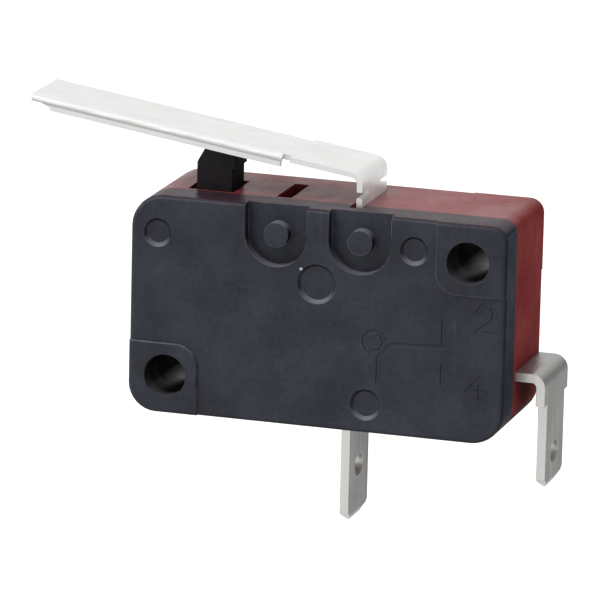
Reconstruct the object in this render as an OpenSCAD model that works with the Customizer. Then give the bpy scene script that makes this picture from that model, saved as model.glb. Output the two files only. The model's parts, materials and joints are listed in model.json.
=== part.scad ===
// Lever micro switch: a snap-action basic switch in the common 27.8 x 15.9 x 10.3 mm case,
// single pole, normally open, with a long bent sheet lever and two push-on blades.
//
// Frame: origin on the axis of the lower left mounting hole, halfway through the thickness.
// +X runs along the case towards the side blade, +Y from the cover to the base's back,
// +Z up towards the plunger and the lever. All sizes are in millimetres.
// The lever and the plunger are drawn free, which is the position they return to.

/* [Case] */
// Length of the moulded case, along X
case_length = 27.8; // [27.4:0.1:28.6]
// Height of the moulded case, along Z
case_height = 15.9; // [15.7:0.1:16.5]
// Thickness over the mounting pads, along Y
case_thickness = 10.3; // [10.1:0.1:10.8]
// Part of the thickness that belongs to the cover
cover_thickness = 2.9; // [2.8:0.1:3.1]
// Thickness of the moulded walls
wall = 1.2; // [1.1:0.05:1.25]
// Rounding of the outer edges of both mouldings
edge_round = 0.35; // [0.2:0.05:0.45]
// Corner radius above the plunger
corner_plunger = 2.35; // [2:0.05:2.5]
// Corner radius above the side blade
corner_top = 1.05; // [0.8:0.05:1.5]
// Corner radius under the side blade
corner_blade = 2.35; // [2:0.05:2.5]
// Corner radius beside the lower left hole
corner_hole = 2.05; // [1.8:0.05:2.3]

/* [Mounting] */
// Diameter of the two mounting holes
hole_d = 3.1; // [2.9:0.05:3.2]
// Distance between the holes along X
hole_span_x = 22.2; // [22:0.1:22.4]
// Distance between the holes along Z
hole_span_z = 10.3; // [10.1:0.1:10.5]
// Side of the square pad round each hole
pad_size = 5.15; // [5:0.05:5.3]
// How far the pads stand out of the faces
pad_rise = 0.2; // [0.1:0.05:0.25]

/* [Lever] */
// Width of the lever sheet, along Y
lever_width = 6.2; // [5.8:0.1:6.2]
// Thickness of the lever sheet
lever_sheet = 0.4; // [0.35:0.05:0.45]
// Length of the blade from its bend to the tip
lever_reach = 24.4; // [20:0.1:30]
// Slope of the free blade above the case, in degrees
lever_slope = 8.4; // [8:0.1:9]
// Height of the bend's centre above the case
lever_rise = 1.64; // [1.5:0.02:1.8]
// Outer radius of the bend between blade and foot
lever_bend = 0.9; // [0.8:0.05:1]
// Depth of the blade's turned-down edges, sheet included
flange_depth = 0.7; // [0.65:0.05:0.8]
// Outer radius of the fold along those edges
fold_radius = 0.55; // [0.5:0.05:0.6]
// Length of the turned-down edges from the tip
flange_length = 19.1; // [15:0.1:20]

/* [Plunger] */
// Distance of the plunger's centre from the right-hand hole
plunger_offset = 19.95; // [19.8:0.05:20.1]
// Width of the plunger's stem, along X
stem_width = 2.6; // [2.4:0.1:2.7]
// Depth of the plunger's stem, along Y
stem_depth = 2.9; // [2.7:0.1:3.1]

/* [Fulcrum] */
// Height of the lever pegs under the top of the case
peg_drop = 2.1; // [2:0.05:2.2]
// Diameter of the lever pegs
peg_d = 0.8; // [0.75:0.05:0.9]
// Distance between the peg in use and the spare peg
peg_span = 6.2; // [6:0.1:6.4]
// Distance of the peg in use from the right-hand hole
peg_offset = 8; // [7.9:0.05:8.1]
// Radius of the round-bottomed recesses in front of the pegs
recess_radius = 2.3; // [2.2:0.05:2.35]
// Depth of those recesses
recess_depth = 0.9; // [0.6:0.1:0.9]
// Radius of the round bosses that stand in them on the pegs' axes
boss_radius = 0.9; // [0.8:0.05:1]

/* [Blades] */
// Width of the push-on blades
blade_width = 4.75; // [4.6:0.05:4.8]
// Thickness of the push-on blades
blade_sheet = 0.65; // [0.6:0.05:0.7]
// Width of the side blade over its shoulders
shoulder_width = 6.3; // [6:0.1:6.4]
// Length of the common blade below the case
common_length = 7.95; // [6.5:0.05:9]
// How far the side blade hangs below the lower left hole's axis
side_drop = 6.75; // [6:0.05:8]
// How far the side blade stands out of the case
side_reach = 2.2; // [2:0.1:3]

/* [Snap mechanism] */
// Thickness of the sheet of the arm and the rocker
arm_sheet = 0.3; // [0.25:0.01:0.3]
// Width of the contact arm
arm_width = 4; // [3.8:0.1:4.2]
// Outer diameter of the tension spring
spring_d = 1.9; // [1.7:0.1:2]
// Diameter of the spring's wire
spring_wire = 0.25; // [0.2:0.01:0.3]
// Number of turns of the spring
spring_turns = 18; // [12:1:20]

/* [Hidden] */
// Clearance of a moving piece in a moulded guide
guide_gap = 0.1;
// Clearance round a piece that is pressed into a moulding
seat_gap = 0.03;
// How far a cutting body runs past the face that it cuts
over = 0.5;
// Facets of the exact circles and of those inside a hull
round_fn = 64;
hull_fn = 32;

// Outer faces of the case
case_left = -(case_length - hole_span_x) / 2;
case_right = case_left + case_length;
case_bottom = -(case_height - hole_span_z) / 2;
case_top = case_bottom + case_height;
pad_front = -case_thickness / 2;
pad_rear = case_thickness / 2;
skin_front = pad_front + pad_rise;
skin_rear = pad_rear - pad_rise;
parting = pad_front + cover_thickness;

// Inner faces of the case
inner_left = case_left + wall;
inner_bottom = case_bottom + wall;
inner_top = case_top - wall;
inner_front = skin_front + wall;
inner_rear = skin_rear - wall;

// The lever's peg and the spare one
peg_x = hole_span_x - peg_offset;
spare_x = peg_x - peg_span;
peg_z = case_top - peg_drop;
pegs_x = [spare_x, peg_x];
pocket_radius = 1.75;
pocket_wall = 0.8;
pocket_front = -(lever_width / 2 + 0.15);

// The lever's foot stands left of its peg and hooks round under it
foot_right = peg_x - peg_d / 2 - 0.05;
foot_left = foot_right - lever_sheet;
hook_inner = peg_x - foot_right;
hook_outer = hook_inner + lever_sheet;
bend_x = foot_right - lever_bend;
bend_z = case_top + lever_rise;
slot_right = foot_right + 0.05;
slot_clear = 0.5;
slot_left = foot_left - slot_clear;
spare_slot_width = 1.1;
spare_slot_right = spare_x + 0.2;
spare_slot_front = -2;
spare_slot_rear = 2.4;

// The plunger under the blade
plunger_x = hole_span_x - plunger_offset;
blade_underside = lever_bend - lever_sheet;
nose_radius = 0.6;
nose_gap = 0.045;
nose_z = bend_z + (bend_x - plunger_x) * tan(lever_slope)
    + (blade_underside - nose_radius - nose_gap) / cos(lever_slope);
guide_bottom = case_top - 3.5;
collar_height = 0.75;
lip = 0.2;
collar_top = guide_bottom - guide_gap;

// Centre plane of the terminals and the snap mechanism
mech_y = skin_rear - 3.55;
strip_width = 4.5;
strip_front = mech_y - strip_width / 2;

// Heights of the contacts, from the side blade upwards
side_z = 1.25;
side_top = side_z + blade_sheet;
contact_x = hole_span_x - 2.9;
fixed_head = 0.55;
fixed_head_radius = 1.4;
arm_z = 4.4;
arm_top = arm_z + arm_sheet / 2;
arm_under = arm_z - arm_sheet / 2;
lower_head = 0.6;
upper_head = 0.4;
upper_head_radius = 1;
lower_head_radius = 1.2;
shank_radius = 0.6;
shank_gap = 0.02;
rivet_tail = 0.3;
tail_radius = 0.95;
stop_z = arm_top + upper_head + 0.05;
contact_block = contact_x + 1.9;
arm_end = contact_x + 1.35;
inner_strip = 3.6;
stop_strip = inner_strip - 0.2;
stop_depth = wall / 2;
shoulder_drop = 1.7;
// Wire slots and thinned ends of the two tabs
common_slot_drop = 4.15;
side_slot_rise = 2.3;
lead_height = 0.65;

// The common terminal: tab, run along the floor, upright fork
common_right = 12.7;
common_left = common_right - blade_sheet;
fork_left = 8.2;
fork_right = fork_left + blade_sheet;
fork_gap = 2.5;
fork_top = 6.8;
pivot_radius = 0.25;
notch_radius = pivot_radius + 0.06;
// Pivots of the arm and the rocker against the fork's two sides
arm_pivot_x = fork_right + 0.05;
rocker_pivot_x = fork_left - 0.05;
rocker_pivot_z = 6;
rocker_top = 7.35;
rocker_lead = 1.1;
rocker_slope = 1.3;
pivot_room = 1;
plunger_foot = rocker_top + 0.05;

// Ends of the tension spring: on the rocker's leg and on the arm
hook_x = 4.5;
hook_z = 5;
anchor_x = contact_x - 3.8;
leg_tail = 0.6;
anchor_slack = 0.25;
anchor_room = 0.95;
tail_z = arm_top + 0.25;
window_end = anchor_x - 0.6;

// Pegs of the cover that locate it on the base
locator_radius = 0.6;
locator_side = 2;
locator_top = 2.7;
locator_middle = 3.25;
locator_right = 4;
locator_right_top = 2.3;
locator_blade = 2.2;
locator_bottom = 2.1;
locators = [
    [case_left + locator_side, case_top - locator_top],
    [peg_x - peg_span / 2, peg_z - locator_middle],
    [peg_x + locator_right, case_top - locator_right_top],
    [common_right + locator_blade, case_bottom + locator_bottom]
];

// ---- helpers -------------------------------------------------------------------------

// Extrudes an outline drawn in X and Z from y0 to y1
module along_y(y0, y1) {
    translate([0, y1, 0])
        rotate([90, 0, 0])
            linear_extrude(y1 - y0)
                children();
}

// A box between two corners
module box(low, high) {
    translate(low)
        cube(high - low);
}

// A round rod along Y, from y0 to y1
module rod(x, z, radius, y0, y1) {
    along_y(y0, y1)
        translate([x, z])
            circle(radius, $fn = round_fn);
}

// A rectangle with its own radius at each corner, from the lower left corner anticlockwise
module rounded_outline(x0, z0, x1, z1, radii, segments) {
    polygon([
        [x0 + radii[0], z0], [x1 - radii[1], z0],
        [x1, z0 + radii[1]], [x1, z1 - radii[2]],
        [x1 - radii[2], z1], [x0 + radii[3], z1],
        [x0, z1 - radii[3]], [x0, z0 + radii[0]]
    ]);
    translate([x0 + radii[0], z0 + radii[0]]) circle(radii[0], $fn = segments);
    translate([x1 - radii[1], z0 + radii[1]]) circle(radii[1], $fn = segments);
    translate([x1 - radii[2], z1 - radii[2]]) circle(radii[2], $fn = segments);
    translate([x0 + radii[3], z1 - radii[3]]) circle(radii[3], $fn = segments);
}

// The case's outline, drawn in by a distance
module case_outline(inset, segments) {
    radii = [corner_hole, corner_blade, corner_top, corner_plunger];
    rounded_outline(
        case_left + inset, case_bottom + inset, case_right - inset, case_top - inset,
        [for (radius = radii) max(radius - inset, 0.3)], segments);
}

// A ring sector in the XZ plane, between two angles
module ring_sector(x, z, inner, outer, start, end) {
    steps = 6;
    reach = outer * 2;
    wedge = [for (i = [0:steps]) let (a = start + (end - start) * i / steps) reach * [cos(a), sin(a)]];
    translate([x, z])
        intersection() {
            difference() {
                circle(outer, $fn = round_fn);
                circle(inner, $fn = round_fn);
            }
            polygon(concat([[0, 0]], wedge));
        }
}

// ---- shapes that the base and the cover share ----------------------------------------

// A slab of the case from a flat parting face to a rounded outer face
module case_slab(flat_y, round_y) {
    outward = sign(round_y - flat_y);
    straight_y = round_y - outward * edge_round;
    layer = 0.01;
    steps = 4;
    hull() {
        along_y(min(flat_y, straight_y), max(flat_y, straight_y)) case_outline(0, hull_fn);
        for (i = [1:steps]) {
            angle = 90 * i / steps;
            y = straight_y + outward * edge_round * sin(angle);
            along_y(min(y, y - outward * layer), max(y, y - outward * layer))
                case_outline(edge_round * (1 - cos(angle)), hull_fn);
        }
    }
}

// The two mounting pads: square, with their inner corner rounded
module pad_outlines(grow) {
    reach = pad_size + grow;
    inner_round = 1.6;
    for (corner = [[case_left, case_bottom, 1], [case_right, case_top, -1]])
        translate([corner[0], corner[1]])
            scale([corner[2], corner[2]])
                difference() {
                    translate([-over, -over]) square(reach + over);
                    difference() {
                        translate([reach - inner_round, reach - inner_round]) square(inner_round + over);
                        translate([reach - inner_round, reach - inner_round])
                            circle(inner_round, $fn = round_fn);
                    }
                }
}

// A pocket round a peg: round at the bottom, straight up to a height
module pocket_outline(x, radius, top) {
    translate([x, peg_z])
        circle(radius, $fn = round_fn);
    translate([x - radius, peg_z])
        square([2 * radius, top - peg_z]);
}

// The lever pocket's free space, closed above by the top wall
module pocket_space(x) {
    intersection() {
        pocket_outline(x, pocket_radius, inner_top);
        translate([x - pocket_radius - over, case_bottom])
            square([2 * (pocket_radius + over), inner_top - case_bottom]);
    }
}

// The inside of the case, less everything that is moulded solid
module cavity_outline() {
    difference() {
        case_outline(wall, round_fn);
        pad_outlines(0);
        translate([contact_block, case_bottom])
            square([case_right - contact_block, case_height]);
        for (x = pegs_x)
            pocket_outline(x, pocket_radius + pocket_wall, case_top);
        translate([plunger_x - stem_width / 2 - 0.9, guide_bottom])
            square([stem_width + 1.8, case_top - guide_bottom]);
        for (place = locators)
            translate(place)
                circle(locator_radius + 0.6, $fn = round_fn);
        // Shelf under the side blade
        translate([contact_block - 2.6, case_bottom])
            square([3, side_z - case_bottom]);
    }
}

// Solid moulding round both mounting holes, over the straight part of the case's side
module hole_ears(y0, y1) {
    for (place = [[0, 0], [hole_span_x, hole_span_z]])
        rod(place[0], place[1], hole_d / 2 + wall, y0, y1);
}

// Two through holes for the mounting screws
module mounting_holes() {
    for (place = [[0, 0], [hole_span_x, hole_span_z]])
        rod(place[0], place[1], hole_d / 2, pad_front - over, pad_rear + over);
}

// ---- the moulded case ----------------------------------------------------------------

// Openings in the top wall: plunger hole, the lever's slot and the spare slot
module top_openings() {
    half_w = stem_width / 2 + guide_gap;
    half_d = stem_depth / 2 + guide_gap;
    rim = 0.4;
    rim_depth = 0.35;
    box([plunger_x - half_w, -half_d, guide_bottom - over], [plunger_x + half_w, half_d, case_top + over]);
    box([plunger_x - half_w - rim, -half_d - rim, case_top - rim_depth],
        [plunger_x + half_w + lip, half_d + rim, case_top + over]);
    box([slot_left, pocket_front, inner_top - 0.2], [slot_right, -pocket_front, case_top + over]);
    box([spare_slot_right - spare_slot_width, spare_slot_front, inner_top - 0.2],
        [spare_slot_right, spare_slot_rear, case_top + over]);
}

module base() {
    color("#8e3437")
        difference() {
            union() {
                case_slab(parting, skin_rear);
                hole_ears(parting + guide_gap, skin_rear - edge_round);
                intersection() {
                    case_slab(parting, pad_rear);
                    along_y(parting, pad_rear) pad_outlines(0);
                }
            }
            along_y(parting - over, inner_rear) cavity_outline();
            along_y(parting - over, inner_rear)
                for (x = pegs_x) pocket_space(x);
            for (x = pegs_x)
                rod(x, peg_z, peg_d / 2 + seat_gap, inner_rear - over, inner_rear + 0.6);
            for (place = locators)
                rod(place[0], place[1], locator_radius + seat_gap, parting - over, parting + 2.2);
            top_openings();
            mounting_holes();
            // Slot for the common tab in the floor
            box([common_left - seat_gap, mech_y - blade_width / 2 - seat_gap, case_bottom - over],
                [common_right + seat_gap, mech_y + blade_width / 2 + seat_gap, inner_bottom + 0.05]);
            // Slots for the side blade and the rest stop in the right-hand block
            side_slot(strip_width, side_z, contact_block - over, case_right - wall);
            side_slot(shoulder_width, side_z, case_right - wall, case_right + over);
            side_slot(strip_width, stop_z, contact_block - over, case_right - stop_depth);
            // Room for the spread tail of the fixed contact's rivet
            translate([contact_x, mech_y, side_z - rivet_tail - 0.1])
                cylinder(rivet_tail + 0.2, r = tail_radius + 0.1, $fn = round_fn);
        }
}

// Room for a level strip of a given width, in the right-hand block
module side_slot(width, z, x0, x1) {
    box([x0, mech_y - width / 2 - seat_gap, z - seat_gap],
        [x1, mech_y + width / 2 + seat_gap, z + blade_sheet + seat_gap]);
}

module cover() {
    color("#3b3d49")
        difference() {
            union() {
                difference() {
                    union() {
                        case_slab(parting, skin_front);
                        hole_ears(skin_front + edge_round, parting - guide_gap);
                        intersection() {
                            case_slab(parting, pad_front);
                            along_y(pad_front, parting) pad_outlines(0);
                        }
                    }
                    along_y(inner_front, parting + over)
                        difference() {
                            cavity_outline();
                            for (x = pegs_x) pocket_outline(x, pocket_radius + pocket_wall, case_top);
                        }
                    along_y(pocket_front, parting + over)
                        for (x = pegs_x) pocket_space(x);
                    peg_recesses();
                    sink_marks();
                }
                for (x = pegs_x) {
                    rod(x, peg_z, peg_d / 2, pocket_front - 0.2, inner_rear + 0.5);
                    rod(x, peg_z, boss_radius, skin_front + seat_gap, skin_front + recess_depth + 0.1);
                }
                for (place = locators)
                    rod(place[0], place[1], locator_radius, parting - 0.2, parting + 2);
            }
            top_openings();
            mounting_holes();
        }
}

// Round-bottomed recesses in the front face, open at the top edge
module peg_recesses() {
    along_y(pad_front - over, skin_front + recess_depth)
        for (x = pegs_x) pocket_outline(x, recess_radius, case_top + over);
}

// Shallow round dishes in the front face, opposite the locating pegs, with sloping rims
module sink_marks() {
    depth = 0.25;
    radii = [1.05, 1.45, 1.05, 1.15];
    for (i = [0:len(locators) - 1])
        translate([locators[i][0], skin_front + depth, locators[i][1]])
            rotate([90, 0, 0])
                cylinder(depth + over, r1 = radii[i] - depth, r2 = radii[i] + over, $fn = round_fn);
}

// ---- outside moving pieces -----------------------------------------------------------

// Stem with a ridged nose under the blade, a collar under its guide and a foot on the rocker
module plunger() {
    half = stem_width / 2;
    shoulder_z = nose_z - 1.15;
    foot_radius = 0.7;
    lip_z = nose_z - 1.5;
    color("#2a282c") {
        along_y(-stem_depth / 2, stem_depth / 2) {
            polygon([
                [plunger_x - half, collar_top - 0.1],
                [plunger_x + half, collar_top - 0.1],
                [plunger_x + half, lip_z],
                [plunger_x + half + lip, lip_z],
                [plunger_x + half + lip, nose_z - 0.3],
                [plunger_x + nose_radius * 0.6, nose_z + nose_radius * 0.8],
                [plunger_x - nose_radius * 0.8, nose_z + nose_radius * 0.6],
                [plunger_x - half, shoulder_z]
            ]);
            translate([plunger_x, nose_z])
                circle(nose_radius, $fn = round_fn);
        }
        box([plunger_x - half - 0.7, -stem_depth / 2 - 0.3, collar_top - collar_height],
            [plunger_x + half + 0.7, mech_y + 1.8, collar_top]);
        along_y(mech_y - 1.8, mech_y + 1.8) {
            translate([plunger_x, plunger_foot + foot_radius])
                circle(foot_radius, $fn = round_fn);
            translate([plunger_x - foot_radius, plunger_foot + foot_radius])
                square([2 * foot_radius, collar_top - collar_height - plunger_foot - foot_radius + 0.1]);
        }
    }
}

// One folded sheet: a sloping blade with turned-down edges, a bend, a foot and a hook
module lever() {
    half = lever_width / 2;
    neck_low = case_top + 0.65;
    neck_height = 0.45;
    neck_depth = 1.6;
    color("#d9d9d6")
        difference() {
            union() {
                translate([bend_x, 0, bend_z])
                    rotate([0, lever_slope, 0]) lever_blade(half);
                along_y(-half, half) {
                    ring_sector(bend_x, bend_z, blade_underside, lever_bend, 0, 90 - lever_slope);
                    translate([foot_left, peg_z])
                        square([lever_sheet, bend_z - peg_z]);
                    ring_sector(peg_x, peg_z, hook_inner, hook_outer, 180, 370);
                }
            }
            // The foot is necked on both edges just above the case
            for (side = [-1, 1])
                translate([foot_left - over, side * half - neck_depth, neck_low])
                    cube([lever_sheet + 2 * over, 2 * neck_depth, neck_height]);
        }
}

// Section of the folded blade: a flat top, rounded folds and two turned-down edges
module fold_outline(half, top, radius, bottom) {
    translate([-half, bottom]) square([2 * half, top - radius - bottom]);
    translate([-half + radius, bottom]) square([2 * (half - radius), top - bottom]);
    for (side = [-1, 1])
        translate([side * (half - radius), top - radius]) circle(radius, $fn = round_fn);
}

// The lever's blade in its own frame, running towards -X from the bend's centre
module lever_blade(half) {
    flange_end = -lever_reach + flange_length;
    flange_bottom = lever_bend - flange_depth;
    relief = 0.65;
    lap = 0.05;
    tip_round = 0.4;
    bare_tip = 0.9;
    tip_slant = 0.7;
    difference() {
        intersection() {
            union() {
                along_x(-lever_reach, flange_end)
                    difference() {
                        fold_outline(half, lever_bend, fold_radius, flange_bottom);
                        fold_outline(
                            half - lever_sheet, blade_underside, fold_radius - lever_sheet,
                            flange_bottom - over);
                    }
                box([flange_end - lap, -half + fold_radius, blade_underside],
                    [flange_end + relief + lap, half - fold_radius, lever_bend]);
                box([flange_end + relief, -half, blade_underside], [0, half, lever_bend]);
            }
            translate([0, 0, -1])
                linear_extrude(4) {
                    translate([-lever_reach + tip_round, -half]) square([lever_reach, 2 * half]);
                    translate([-lever_reach, -half + tip_round]) square([1, 2 * (half - tip_round)]);
                    for (side = [-1, 1])
                        translate([-lever_reach + tip_round, side * (half - tip_round)])
                            circle(tip_round, $fn = round_fn);
                }
        }
        // The turned-down edges start behind the tip and end in two relief notches
        along_y(-half - over, half + over)
            polygon([
                [-lever_reach - over, flange_bottom - over],
                [-lever_reach - over, blade_underside - 0.03],
                [-lever_reach + bare_tip, blade_underside - 0.03],
                [-lever_reach + bare_tip + tip_slant, flange_bottom],
                [-lever_reach + bare_tip + tip_slant, flange_bottom - over]
            ]);
    }
}

// ---- terminals and fixed contacts ----------------------------------------------------

// Outline of a hanging push-on tab in Y and Z, with bevelled corners and a wire slot
module tab_outline(width, top, tip, slot_z) {
    half = width / 2;
    bevel_y = 1.1;
    bevel_z = 0.7;
    slot_radius = 0.75;
    slot_shift = 0.25;
    difference() {
        polygon([
            [-half, top], [-half, tip + bevel_z], [-half + bevel_y, tip],
            [half - bevel_y, tip], [half, tip + bevel_z], [half, top]
        ]);
        for (y = [-slot_shift, slot_shift])
            translate([y, slot_z]) circle(slot_radius, $fn = round_fn);
        translate([-slot_shift, slot_z - slot_radius]) square([2 * slot_shift, 2 * slot_radius]);
    }
}

// Extrudes an outline drawn in Y and Z from x0 to x1
module along_x(x0, x1) {
    translate([x0, 0, 0])
        rotate([90, 0, 90])
            linear_extrude(x1 - x0)
                children();
}

// A cutter that thins the lower edge of a tab towards its tip, on one side
module tip_lead(x, direction, tip) {
    along_y(mech_y - blade_width, mech_y + blade_width)
        polygon([
            [x - direction * 0.1, tip - 0.1],
            [x + direction * blade_sheet * 0.45, tip - 0.1],
            [x - direction * 0.1, tip + lead_height]
        ]);
}

// One folded strip: push-on tab, run along the floor and an upright fork
module common_terminal() {
    tip = case_bottom - common_length;
    run_top = inner_bottom + blade_sheet;
    fork_half = fork_gap / 2;
    color("#c9c6bd")
        difference() {
            union() {
                translate([0, mech_y, 0])
                    along_x(common_left, common_right)
                        tab_outline(blade_width, inner_bottom, tip, case_bottom - common_slot_drop);
                box([fork_left, strip_front, inner_bottom],
                    [common_right, strip_front + strip_width, run_top]);
                box([fork_left, strip_front, inner_bottom],
                    [fork_right, strip_front + strip_width, fork_top]);
            }
            tip_lead(common_left, 1, tip);
            tip_lead(common_right, -1, tip);
            // The spring runs through the fork
            box([fork_left - over, mech_y - fork_half, arm_z - 1.6],
                [fork_right + over, mech_y + fork_half, fork_top + over]);
            rod(rocker_pivot_x, rocker_pivot_z, notch_radius, strip_front - over, inner_rear);
            rod(arm_pivot_x, arm_z, notch_radius, strip_front - over, inner_rear);
        }
}

// One folded strip: a level strip inside, a wide bend outside and a push-on tab hanging down
module side_terminal() {
    outer = case_right + side_reach;
    bend = 1;
    shoulder_z = side_z - shoulder_drop;
    half = shoulder_width / 2;
    tip = -side_drop;
    color("#c9c6bd")
        difference() {
            union() {
                box([contact_block - inner_strip, strip_front, side_z],
                    [case_right - wall, strip_front + strip_width, side_top]);
                along_y(mech_y - half, mech_y + half) {
                    translate([case_right - wall, side_z])
                        square([outer - bend - case_right + wall, blade_sheet]);
                    ring_sector(outer - bend, side_top - bend, bend - blade_sheet, bend, 0, 90);
                    translate([outer - blade_sheet, shoulder_z])
                        square([blade_sheet, side_top - bend - shoulder_z]);
                }
                translate([0, mech_y, 0])
                    along_x(outer - blade_sheet, outer)
                        tab_outline(blade_width, shoulder_z + 0.2, tip, tip + side_slot_rise);
            }
            tip_lead(outer - blade_sheet, 1, tip);
            tip_lead(outer, -1, tip);
            translate([contact_x, mech_y, side_z - over])
                cylinder(2 * over + blade_sheet, r = shank_radius + shank_gap, $fn = round_fn);
        }
}

// A contact rivet: a head on the sheet, a shank through it and a spread tail on the other side
module rivet(top, head, head_r, sheet, tail, tail_r) {
    translate([contact_x, mech_y, 0]) {
        translate([0, 0, top]) cylinder(head, r = head_r, $fn = round_fn);
        translate([0, 0, top - sheet]) cylinder(sheet, r = shank_radius, $fn = round_fn);
        translate([0, 0, top - sheet - tail]) cylinder(tail, r = tail_r, $fn = round_fn);
    }
}

module fixed_contact() {
    color("#dcdcd8") rivet(side_top, fixed_head, fixed_head_radius, blade_sheet, rivet_tail, tail_radius);
}

// Short blank strip that stops the arm at rest, held where a second side blade would sit
module rest_stop() {
    color("#c9c6bd")
        box([contact_block - stop_strip, strip_front, stop_z],
            [case_right - stop_depth - seat_gap, strip_front + strip_width, stop_z + blade_sheet]);
}

// ---- the snap mechanism --------------------------------------------------------------

// Sheet lever under the plunger: it swings on the fork's left side and pulls the spring down
module rocker() {
    under = rocker_top - arm_sheet;
    left = plunger_x - rocker_lead;
    slope_top = rocker_pivot_x - rocker_slope;
    half = arm_width / 2;
    leg = 0.5;
    color("#c8a15a")
        difference() {
            union() {
                along_y(mech_y - half, mech_y + half) {
                    translate([left, under]) square([slope_top - left, arm_sheet]);
                    polygon([
                        [slope_top - 0.05, under], [slope_top - 0.05, rocker_top],
                        [slope_top + 0.1, rocker_top],
                        [rocker_pivot_x + 0.18, rocker_pivot_z + 0.12],
                        [rocker_pivot_x - 0.12, rocker_pivot_z - 0.12]
                    ]);
                    translate([rocker_pivot_x, rocker_pivot_z])
                        circle(pivot_radius, $fn = round_fn);
                }
            }
            // Room for the spring between the rocker's two legs
            box([slope_top + 0.2, mech_y - fork_gap / 2, rocker_pivot_z - 1],
                [rocker_pivot_x + 1, mech_y + fork_gap / 2, rocker_top + over]);
        }
    color("#c8a15a")
        difference() {
            box([hook_x - arm_sheet / 2, mech_y - leg, hook_z - leg_tail],
                [hook_x + arm_sheet / 2, mech_y + leg, under + 0.05]);
            translate([hook_x - over, mech_y, hook_z])
                rotate([0, 90, 0]) cylinder(2 * over, r = 0.3, $fn = round_fn);
        }
}

// Window frame of springy sheet, from its pivot on the fork to the moving contact
module contact_arm() {
    half = arm_width / 2;
    slot_half = 0.35;
    color("#c8a15a")
        difference() {
            along_y(mech_y - half, mech_y + half) {
                translate([arm_pivot_x, arm_under]) square([arm_end - arm_pivot_x, arm_sheet]);
                translate([arm_pivot_x, arm_z]) circle(pivot_radius, $fn = round_fn);
            }
            box([arm_pivot_x - pivot_room, mech_y - fork_gap / 2, arm_under - over],
                [window_end, mech_y + fork_gap / 2, arm_top + over]);
            box([anchor_x - anchor_slack, mech_y - slot_half, arm_under - over],
                [anchor_x + anchor_room, mech_y + slot_half, arm_top + over]);
            translate([contact_x, mech_y, arm_under - over])
                cylinder(2 * over + arm_sheet, r = shank_radius + shank_gap, $fn = round_fn);
        }
}

module moving_contact() {
    color("#dcdcd8") rivet(arm_top, upper_head, upper_head_radius, arm_sheet, lower_head, lower_head_radius);
}

// Centre line of the tension spring: a hook on the rocker's leg, the coil, a hook in the arm
coil_start = hook_x + 2;
coil_end = window_end - 1;
coil_radius = (spring_d - spring_wire) / 2;
coil_steps = 14;

function axis_z(x) = hook_z + (x - hook_x) * (arm_z - hook_z) / (anchor_x - hook_x);

function spring_point(i) =
    let (t = i / (spring_turns * coil_steps), x = coil_start + (coil_end - coil_start) * t)
    [x, mech_y + coil_radius * sin(360 * spring_turns * t), axis_z(x) + coil_radius * cos(360 * spring_turns * t)];

// The line leads into the coil over its top, where each helix starts and ends
spring_line = concat(
    [
        [hook_x - 0.35, mech_y, hook_z - 0.5],
        [hook_x - 0.35, mech_y, hook_z - 0.15],
        [hook_x - 0.2, mech_y, hook_z],
        [hook_x + 0.9, mech_y, hook_z],
        [coil_start - 0.35, mech_y, axis_z(coil_start) + coil_radius * 0.8]
    ],
    [for (i = [0:spring_turns * coil_steps]) spring_point(i)],
    [
        [coil_end + 0.35, mech_y, axis_z(coil_end) + coil_radius * 0.85],
        [anchor_x - 0.7, mech_y, tail_z],
        [anchor_x - 0.1, mech_y, tail_z],
        [anchor_x, mech_y, tail_z - 0.12],
        [anchor_x, mech_y, arm_under - 0.35]
    ]
);

function unit(v) = v / norm(v);

// Direction of a line at one of its points
function heading(line, i) = unit(line[min(i + 1, len(line) - 1)] - line[max(i - 1, 0)]);

// Directions across the line, each carried on from the one before so that the tube doesn't twist
function frames(line) = [
    for (
        i = 0, a = [0, 1, 0];
        i < len(line);
        i = i + 1,
        d = i < len(line) ? heading(line, i) : [1, 0, 0],
        a = unit(a - d * (a * d))
    ) a
];

// A tube of round wire along a line
module wire(line, radius, sides) {
    sideways = frames(line);
    rings = [
        for (i = [0:len(line) - 1])
            let (a = sideways[i], b = cross(heading(line, i), a))
            for (k = [0:sides - 1])
                line[i] + radius * (a * cos(360 * k / sides) + b * sin(360 * k / sides))
    ];
    last = (len(line) - 1) * sides;
    walls = [
        for (i = [0:len(line) - 2])
            for (k = [0:sides - 1])
                let (n = (k + 1) % sides, p = i * sides, q = p + sides)
                for (face = [[p + k, q + k, q + n], [p + k, q + n, p + n]]) face
    ];
    start_cap = [for (k = [0:sides - 1]) k];
    end_cap = [for (k = [sides - 1:-1:0]) last + k];
    polyhedron(rings, concat([start_cap], walls, [end_cap]));
}

module tension_spring() {
    color("#b9bcc0") wire(spring_line, spring_wire / 2, 6);
}

base();
cover();
plunger();
lever();
common_terminal();
side_terminal();
fixed_contact();
rest_stop();
rocker();
contact_arm();
moving_contact();
tension_spring();
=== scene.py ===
import json
import logging
import math
from dataclasses import dataclass, field
from enum import Enum
from typing import Iterable, Sequence

import bmesh
import bpy
from mathutils import Matrix, Vector


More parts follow.
